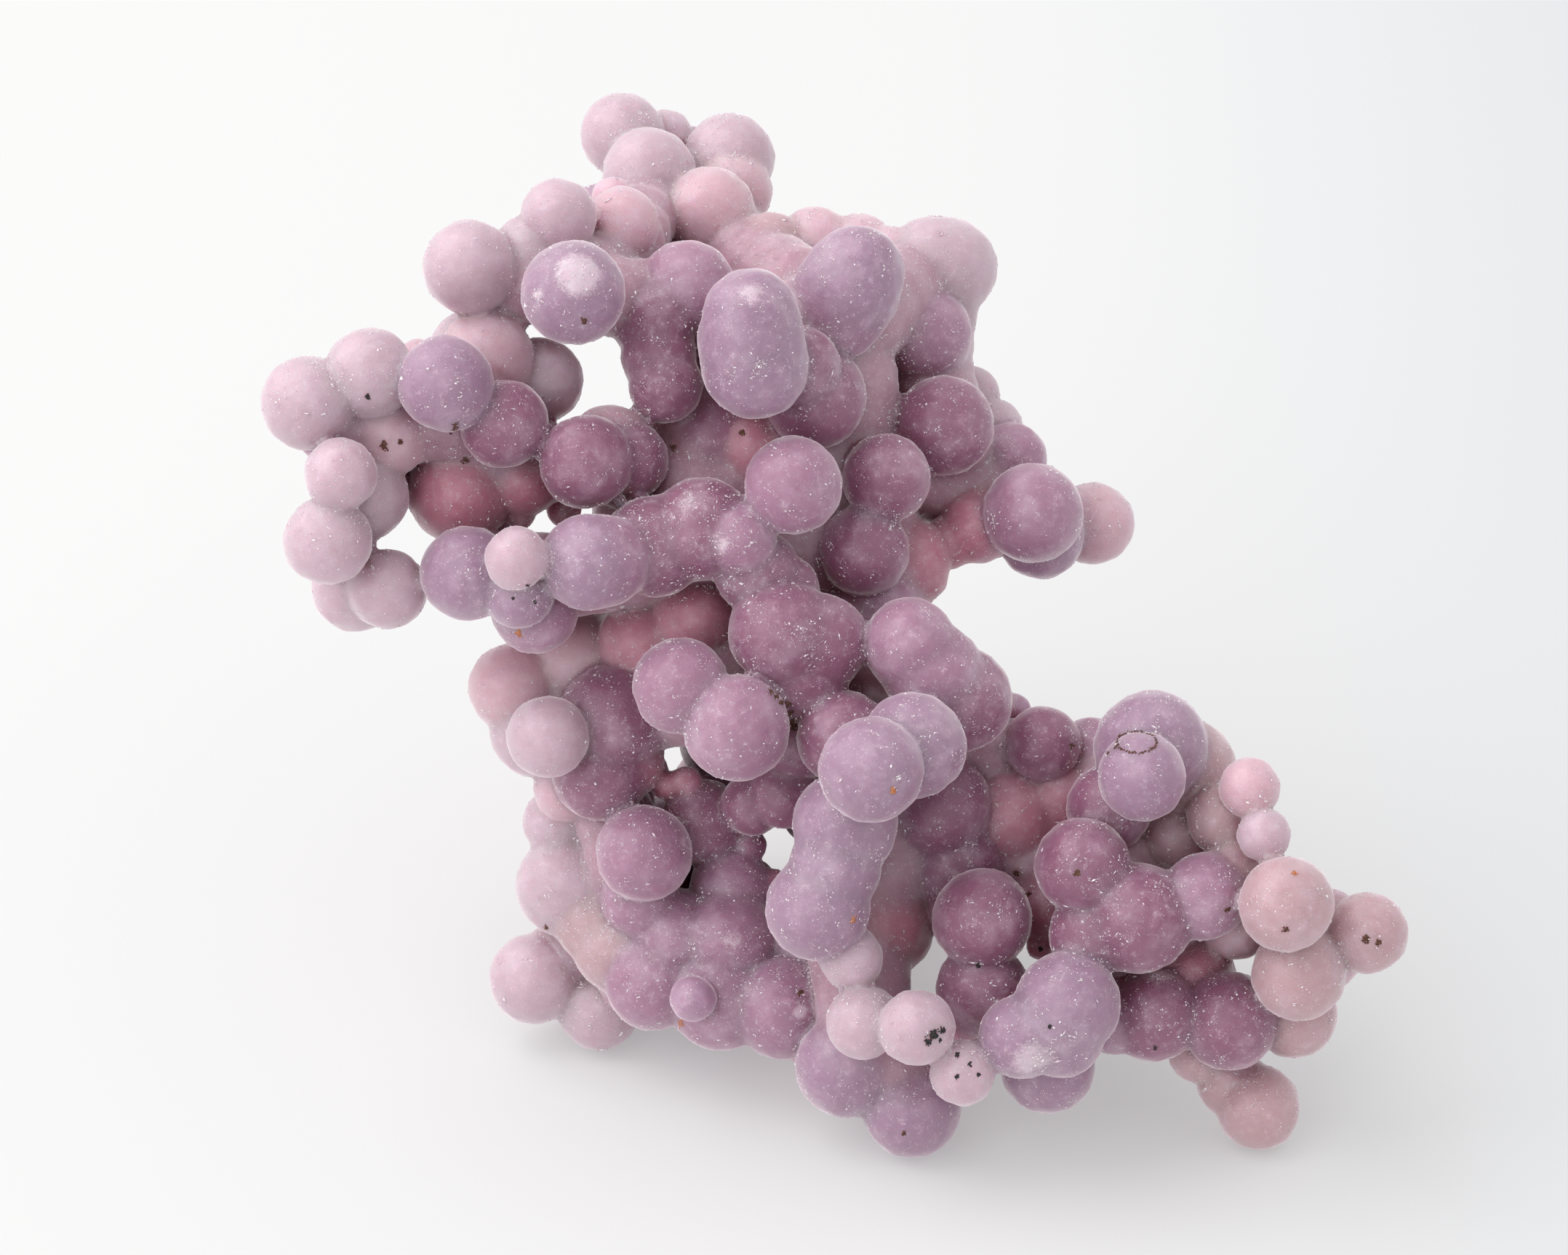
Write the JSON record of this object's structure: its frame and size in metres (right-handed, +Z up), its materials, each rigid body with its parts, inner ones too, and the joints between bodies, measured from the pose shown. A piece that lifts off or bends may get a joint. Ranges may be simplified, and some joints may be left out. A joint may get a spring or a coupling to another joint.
{
  "type": "botryoidal chalcedony",
  "caption": "Branching cluster of round translucent lilac chalcedony berries grown together as one natural piece, standing on its lowest berries.",
  "frame": {"origin": "middle of the footprint, on the surface that the cluster stands on", "axes": "+Z up; +X along the longest side, to the right as seen from the front; +Y to the back"},
  "size_m": [0.0632, 0.0514, 0.0476],
  "materials": {
    "lilac_chalcedony": "translucent, frosted with fine druse"
  },
  "bodies": {
    "root": {"chalcedony_cluster": "lilac_chalcedony"}
  },
  "joints": []
}
